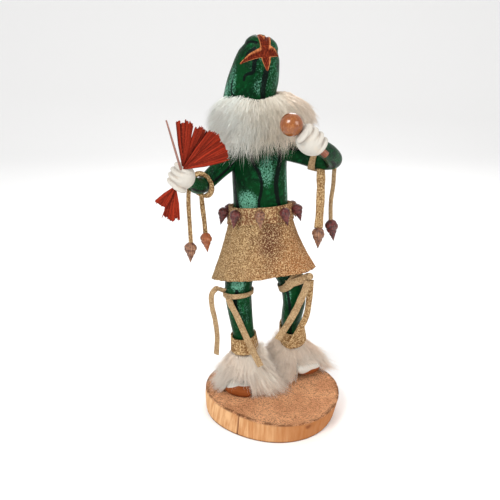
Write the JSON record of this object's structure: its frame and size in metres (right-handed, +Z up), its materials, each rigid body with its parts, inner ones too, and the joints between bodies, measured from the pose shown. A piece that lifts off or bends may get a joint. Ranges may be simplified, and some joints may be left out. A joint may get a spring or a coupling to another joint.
{
  "type": "carved dancer figure",
  "caption": "Carved and painted wooden dancer standing on a round slab of wood, with fur ruff, suede kilt, shell trim, rattle and feather fan.",
  "frame": {"origin": "centre of the slab's underside, the flat face that the figure stands on", "axes": "+Z up, the figure faces -Y with its right hand on the -X side"},
  "size_m": [0.1505, 0.1138, 0.3177],
  "materials": {
    "slab_wood": "bare end grain with sawn pale sides, dry and rough",
    "painted_wood": "deep green paint with pale dry-brushed patches and black lines, white hands and moccasins",
    "varnished_wood": "orange-tan varnish, glossy on the ball and duller on the stick",
    "feather": "dyed brick-red feather, barbs split at the trimmed ends",
    "fur": "white to cream rabbit fur, soft and matt",
    "suede": "tan split suede with a coarse nap and a maroon stain on the front",
    "shell": "small ribbed snail shells, maroon-brown, orange and cream"
  },
  "bodies": {
    "root": {"slab": "slab_wood", "body": "painted_wood", "head": "painted_wood", "right_arm": "painted_wood", "left_arm": "painted_wood", "rattle_ball": "varnished_wood", "rattle_stick": "varnished_wood", "feather_fan_1": "feather", "feather_fan_2": "feather", "feather_fan_3": "feather", "feather_fan_4": "feather", "feather_tail_1": "feather", "feather_tail_2": "feather", "feather_quill": "feather", "neck_ruff": "fur", "right_ankle_fur": "fur", "left_ankle_fur": "fur", "kilt": "suede", "belt": "suede", "right_arm_band": "suede", "left_arm_band": "suede", "right_knee_band": "suede", "left_knee_band": "suede", "right_ankle_cuff": "suede", "left_ankle_cuff": "suede", "right_arm_thong_outer": "suede", "right_arm_thong_inner": "suede", "left_arm_thong_inner": "suede", "left_arm_thong_outer": "suede", "right_knee_thong_outer": "suede", "right_knee_thong_front": "suede", "left_knee_thong_inner": "suede", "left_knee_thong_outer": "suede", "belt_shell_1": "shell", "belt_shell_2": "shell", "belt_shell_3": "shell", "belt_shell_4": "shell", "belt_shell_5": "shell", "belt_shell_6": "shell", "belt_shell_7": "shell", "belt_shell_8": "shell", "belt_shell_9": "shell", "right_arm_shell_outer": "shell", "right_arm_shell_inner": "shell", "left_arm_shell_inner": "shell", "left_arm_shell_outer": "shell"}
  },
  "joints": []
}
